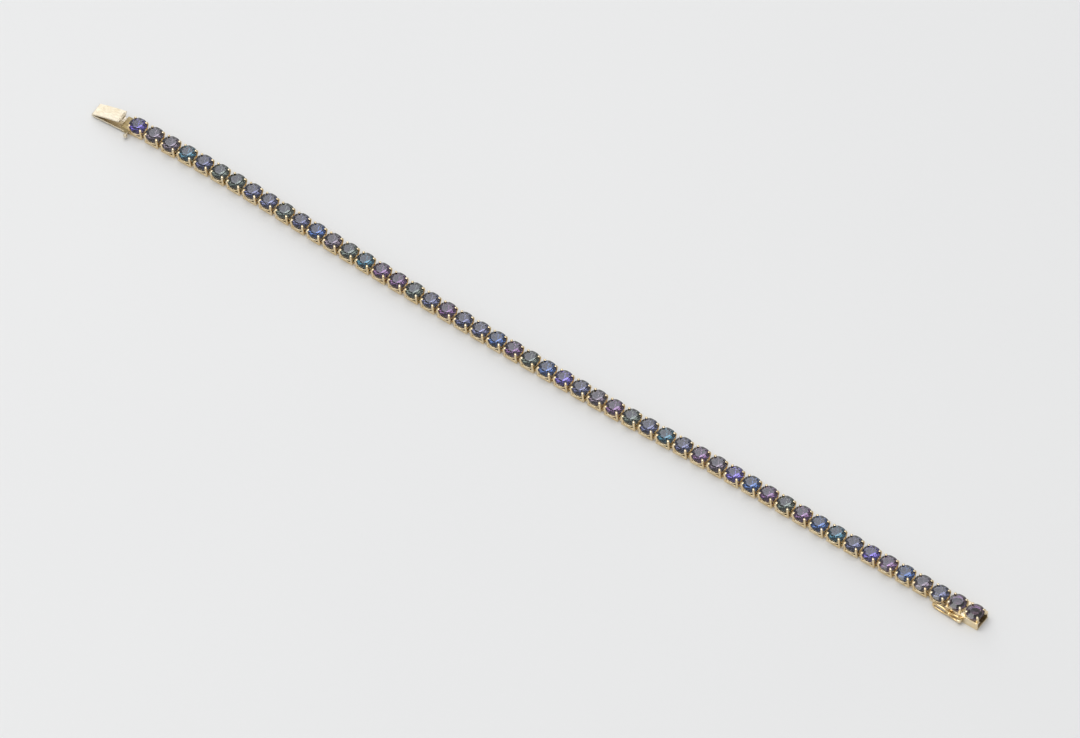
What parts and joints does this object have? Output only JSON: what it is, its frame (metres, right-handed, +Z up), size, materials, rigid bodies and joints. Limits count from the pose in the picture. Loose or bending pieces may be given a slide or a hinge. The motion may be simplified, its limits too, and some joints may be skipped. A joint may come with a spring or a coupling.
{
  "type": "tennis bracelet",
  "caption": "Gold line bracelet of round sapphires in four-prong baskets, unfastened, with a spring tongue, a box clasp and a hinged figure-eight safety catch.",
  "frame": {"origin": "centre of the footprint, on the surface that the bracelet lies on", "axes": "+X along the row from the tongue to the box clasp, +Y across the row away from the safety catch, +Z up through the stones' tables"},
  "size_m": [0.1854, 0.0046, 0.0028],
  "materials": {
    "yellow_gold": "polished",
    "sapphire": "polished facets"
  },
  "bodies": {
    "bracelet": {"stone_line_tongue_side": "yellow_gold", "stone_line_box_side": "yellow_gold", "spring_tongue": "yellow_gold", "clasp_box": "yellow_gold", "clasp_stone_1": "sapphire", "clasp_stone_2": "sapphire"},
    "safety_catch": {"safety_catch": "yellow_gold"}
  },
  "joints": [
    {"name": "safety_catch_hinge", "type": "hinge", "parent": "bracelet", "child": "safety_catch", "pos_m": [0.08934, -0.00186, 0.00088], "axis": [0, 0, 1], "range_deg": [0, 182]}
  ]
}
